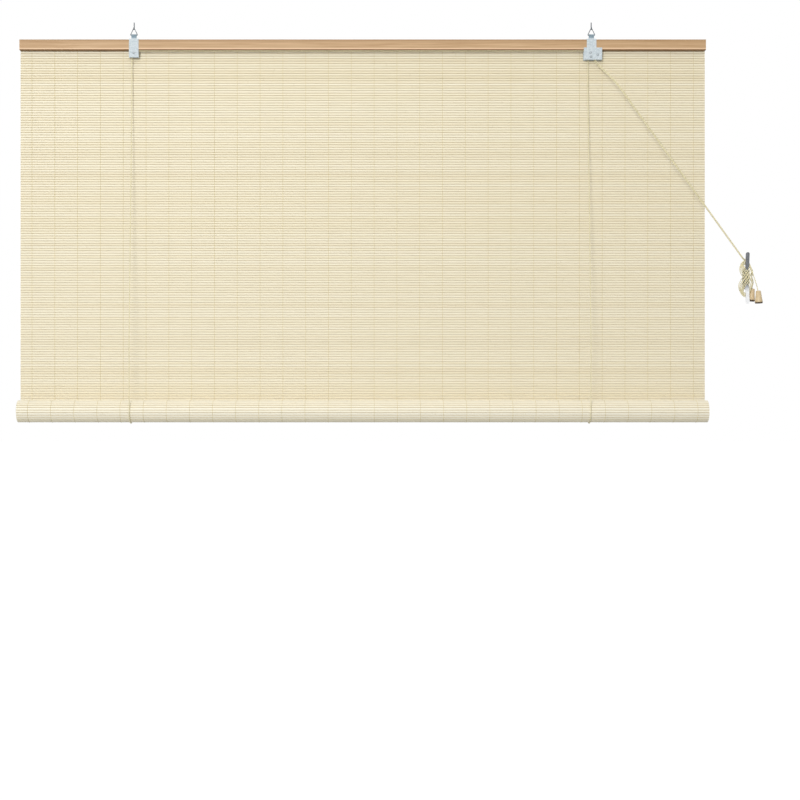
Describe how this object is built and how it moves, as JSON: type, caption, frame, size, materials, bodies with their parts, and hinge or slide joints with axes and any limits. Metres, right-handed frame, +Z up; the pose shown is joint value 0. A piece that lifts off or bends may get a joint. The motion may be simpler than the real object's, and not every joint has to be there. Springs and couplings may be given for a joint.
{
  "type": "bamboo roll-up blind",
  "caption": "Split-bamboo mat hung from a wooden headrail and rolled up from below by two cord slings, with pulley brackets, cord lock, hooks, tasselled pull cord and wall cleat.",
  "frame": {"origin": "on the ceiling plane, midway between the two screw hooks", "axes": "+X right along the headrail, +Y towards the wall behind the blind, +Z up"},
  "size_m": [1.6123, 0.0708, 0.8775],
  "materials": {
    "rail_wood": "planed, lightly sealed",
    "bamboo": "split, natural skin, satin",
    "zinc_sheet": "zinc plated sheet",
    "steel_wire": "plated wire",
    "pulley_nylon": "moulded",
    "cord": "twisted cotton",
    "tassel_wood": "turned, bare",
    "cleat_metal": "plated casting"
  },
  "bodies": {
    "frame": {"headrail": "rail_wood", "hanging_mat": "bamboo", "mat_staples": "steel_wire", "cord_staples": "steel_wire", "left_bracket": "zinc_sheet", "right_bracket": "zinc_sheet", "rivets": "zinc_sheet", "lock_guide": "zinc_sheet", "wire_bails": "steel_wire", "screw_hooks": "steel_wire", "left_front_run": "cord", "left_back_run": "cord", "right_front_run": "cord", "right_back_run": "cord", "left_pull_cord": "cord", "right_pull_cord": "cord", "cord_hank": "cord", "front_tail": "cord", "rear_tail": "cord", "front_tassel": "tassel_wood", "rear_tassel": "tassel_wood", "cleat": "cleat_metal", "cleat_screws": "cleat_metal"},
    "sling": {"left_sling": "cord", "right_sling": "cord"},
    "roll": {"rolled_mat": "bamboo"},
    "left_pulley": {"left_pulley": "pulley_nylon"},
    "right_pulley": {"right_pulley": "pulley_nylon"},
    "lock_pawl": {"lock_pawl": "zinc_sheet"}
  },
  "joints": [
    {"name": "roll_lift", "type": "slide", "parent": "frame", "child": "sling", "axis": [0, 0, 1], "range_m": [-0.7, 0.7], "deforming": ["hanging_mat", "left_front_run", "right_front_run", "left_back_run", "right_back_run"]},
    {"name": "roll_turn", "type": "hinge", "parent": "sling", "child": "roll", "pos_m": [0, -0.0172, -0.841], "axis": [1, 0, 0], "range_deg": [-1440, 1440]},
    {"name": "left_pulley_spin", "type": "hinge", "parent": "frame", "child": "left_pulley", "pos_m": [-0.5, -0.0036, -0.0583], "axis": [0, 1, 0], "continuous": true},
    {"name": "right_pulley_spin", "type": "hinge", "parent": "frame", "child": "right_pulley", "pos_m": [0.4976, -0.0018, -0.0583], "axis": [0, 1, 0], "continuous": true},
    {"name": "pawl_release", "type": "hinge", "parent": "frame", "child": "lock_pawl", "pos_m": [0.5132, -0.0018, -0.0625], "axis": [0, -1, 0], "range_deg": [0, 25]}
  ],
  "couplings": [
    {"joint": "roll_turn", "follows": "roll_lift", "rad_per_m": -35.904}
  ]
}
